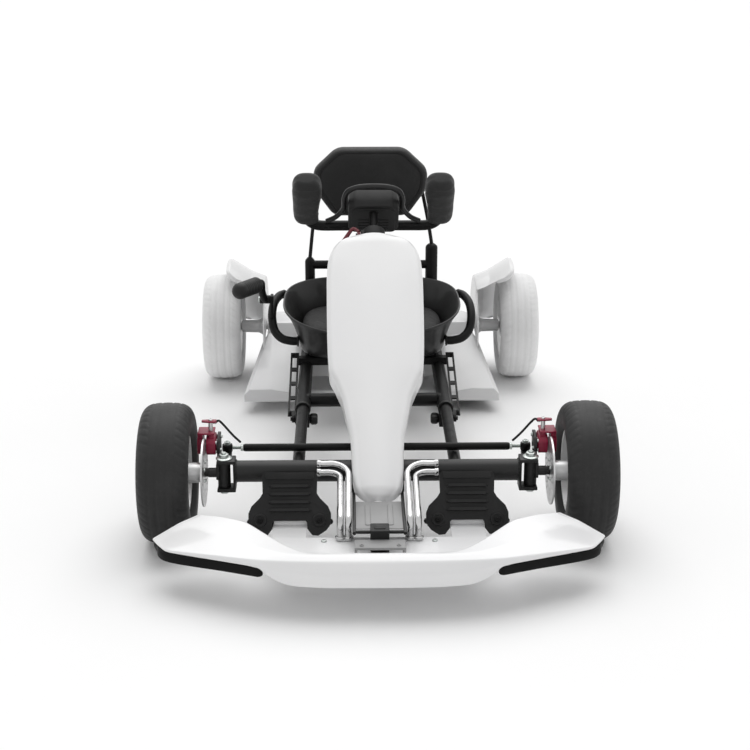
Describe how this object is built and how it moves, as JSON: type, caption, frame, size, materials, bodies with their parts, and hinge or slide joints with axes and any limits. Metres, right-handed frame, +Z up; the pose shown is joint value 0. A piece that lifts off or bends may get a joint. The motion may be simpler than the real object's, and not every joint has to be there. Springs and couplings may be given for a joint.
{
  "type": "electric go-kart",
  "caption": "Low electric kart: steered front axle, sloping column with a covered nose, bucket seat and a hub-motor drive unit on telescoping rails.",
  "frame": {"origin": "on the ground, under the middle of the kart's outer box", "axes": "+X to the driver's left, -Y towards the nose, +Y towards the back, +Z up"},
  "size_m": [0.82, 1.3754, 0.5701],
  "materials": {
    "black_steel": "satin",
    "red_paint": "gloss",
    "black_plastic": "fine grain",
    "grey_plastic": "satin",
    "white_plastic": "gloss",
    "pale_plastic": "satin",
    "front_rubber": "matte",
    "rear_rubber": "matte",
    "cable_sheath": "matte",
    "padding": "woven",
    "chrome": "polished",
    "zinc": "plated",
    "steel": "turned",
    "alloy": "cast and turned"
  },
  "bodies": {
    "front_body": {"front_frame": "black_steel", "kingpin_left": "zinc", "kingpin_right": "zinc", "column_channel": "black_steel", "column_tube": "black_steel", "column_collar": "black_plastic", "steering_cover": "white_plastic", "bumper_shell": "white_plastic", "bumper_tray": "white_plastic", "bumper_strip_left": "black_plastic", "bumper_strip_right": "black_plastic", "front_strut_left": "chrome", "front_strut_right": "chrome", "bumper_latch": "black_steel"},
    "steering_wheel": {"steering_shaft": "steel", "wheel_frame": "black_plastic", "wheel_arch": "grey_plastic", "wheel_hub": "black_plastic", "wheel_grip_left": "black_plastic", "wheel_grip_right": "black_plastic"},
    "clamp_lever": {"column_lever": "red_paint"},
    "left_knuckle": {"knuckle_left": "black_steel", "brake_caliper_left": "red_paint", "brake_cable_left": "cable_sheath"},
    "right_knuckle": {"knuckle_right": "black_steel", "brake_caliper_right": "red_paint", "brake_cable_right": "cable_sheath"},
    "track_rod": {"tie_bar": "black_steel"},
    "left_front_wheel": {"front_tyre_left": "front_rubber", "front_rim_left": "alloy", "brake_disc_left": "steel"},
    "right_front_wheel": {"front_tyre_right": "front_rubber", "front_rim_right": "alloy", "brake_disc_right": "steel"},
    "left_pedal": {"pedal_left": "black_plastic"},
    "right_pedal": {"pedal_right": "black_plastic"},
    "rear_body": {"rear_rails": "black_steel", "adjuster_plate_left": "black_steel", "adjuster_plate_right": "black_steel", "seat_shell": "black_plastic", "seat_cushion": "padding", "side_hoop_left": "black_steel", "side_hoop_right": "black_steel", "back_frame": "black_steel", "back_pad": "padding", "drive_cover": "pale_plastic", "drive_tray": "black_plastic", "battery_pack": "grey_plastic", "fender_left": "pale_plastic", "fender_right": "pale_plastic", "deck_left": "pale_plastic", "deck_right": "pale_plastic"},
    "left_clamp": {"clamp_knob_left": "black_plastic"},
    "right_clamp": {"clamp_knob_right": "black_plastic"},
    "hand_brake": {"brake_arm": "black_steel", "brake_grip": "black_plastic"},
    "left_rear_wheel": {"rear_tyre_left": "rear_rubber", "hub_motor_left": "alloy"},
    "right_rear_wheel": {"rear_tyre_right": "rear_rubber", "hub_motor_right": "alloy"}
  },
  "joints": [
    {"name": "steering", "type": "hinge", "parent": "front_body", "child": "steering_wheel", "pos_m": [0, -0.29682, 0.18561], "axis": [0, 0.766, 0.6428], "range_deg": [-32, 32]},
    {"name": "column_clamp", "type": "hinge", "parent": "front_body", "child": "clamp_lever", "pos_m": [-0.026, 0.01493, 0.45504], "axis": [1, 0, 0], "range_deg": [0, 60]},
    {"name": "knuckle_left", "type": "hinge", "parent": "front_body", "child": "left_knuckle", "pos_m": [0.2685, -0.36775, 0.125], "axis": [0, 0, 1], "range_deg": [-18.3, 18.3]},
    {"name": "knuckle_right", "type": "hinge", "parent": "front_body", "child": "right_knuckle", "pos_m": [-0.2685, -0.36775, 0.125], "axis": [0, 0, 1], "range_deg": [-18.3, 18.3]},
    {"name": "track_rod", "type": "hinge", "parent": "left_knuckle", "child": "track_rod", "pos_m": [0.2685, -0.28475, 0.137], "axis": [0, 0, 1], "range_deg": [-18.3, 18.3]},
    {"name": "front_wheel_left", "type": "hinge", "parent": "left_knuckle", "child": "left_front_wheel", "pos_m": [0.366, -0.36775, 0.123], "axis": [1, 0, 0], "continuous": true},
    {"name": "front_wheel_right", "type": "hinge", "parent": "right_knuckle", "child": "right_front_wheel", "pos_m": [-0.366, -0.36775, 0.123], "axis": [1, 0, 0], "continuous": true},
    {"name": "pedal_left", "type": "hinge", "parent": "front_body", "child": "left_pedal", "pos_m": [0.1508, -0.46275, 0.07], "axis": [1, 0, 0], "range_deg": [0, 20], "stiffness_Nm_per_rad": 3, "springref_deg": -10},
    {"name": "pedal_right", "type": "hinge", "parent": "front_body", "child": "right_pedal", "pos_m": [-0.1508, -0.46275, 0.07], "axis": [1, 0, 0], "range_deg": [0, 20], "stiffness_Nm_per_rad": 3, "springref_deg": -10},
    {"name": "rail_slide", "type": "slide", "parent": "front_body", "child": "rear_body", "axis": [0, 1, 0], "range_m": [-0.04, 0.1]},
    {"name": "clamp_left", "type": "hinge", "parent": "rear_body", "child": "left_clamp", "pos_m": [0.14, -0.01575, 0.092], "axis": [1, 0, 0], "continuous": true},
    {"name": "clamp_right", "type": "hinge", "parent": "rear_body", "child": "right_clamp", "pos_m": [-0.14, -0.01575, 0.092], "axis": [1, 0, 0], "continuous": true},
    {"name": "hand_brake", "type": "hinge", "parent": "rear_body", "child": "hand_brake", "pos_m": [-0.2265, 0.28725, 0.252], "axis": [-1, 0, 0], "range_deg": [0, 30]},
    {"name": "rear_wheel_left", "type": "hinge", "parent": "rear_body", "child": "left_rear_wheel", "pos_m": [0.3355, 0.53225, 0.119], "axis": [1, 0, 0], "continuous": true},
    {"name": "rear_wheel_right", "type": "hinge", "parent": "rear_body", "child": "right_rear_wheel", "pos_m": [-0.3355, 0.53225, 0.119], "axis": [1, 0, 0], "continuous": true}
  ],
  "couplings": [
    {"joint": "knuckle_left", "follows": "steering", "ratio": 0.57},
    {"joint": "knuckle_right", "follows": "steering", "ratio": 0.57},
    {"joint": "track_rod", "follows": "steering", "ratio": -0.57}
  ]
}
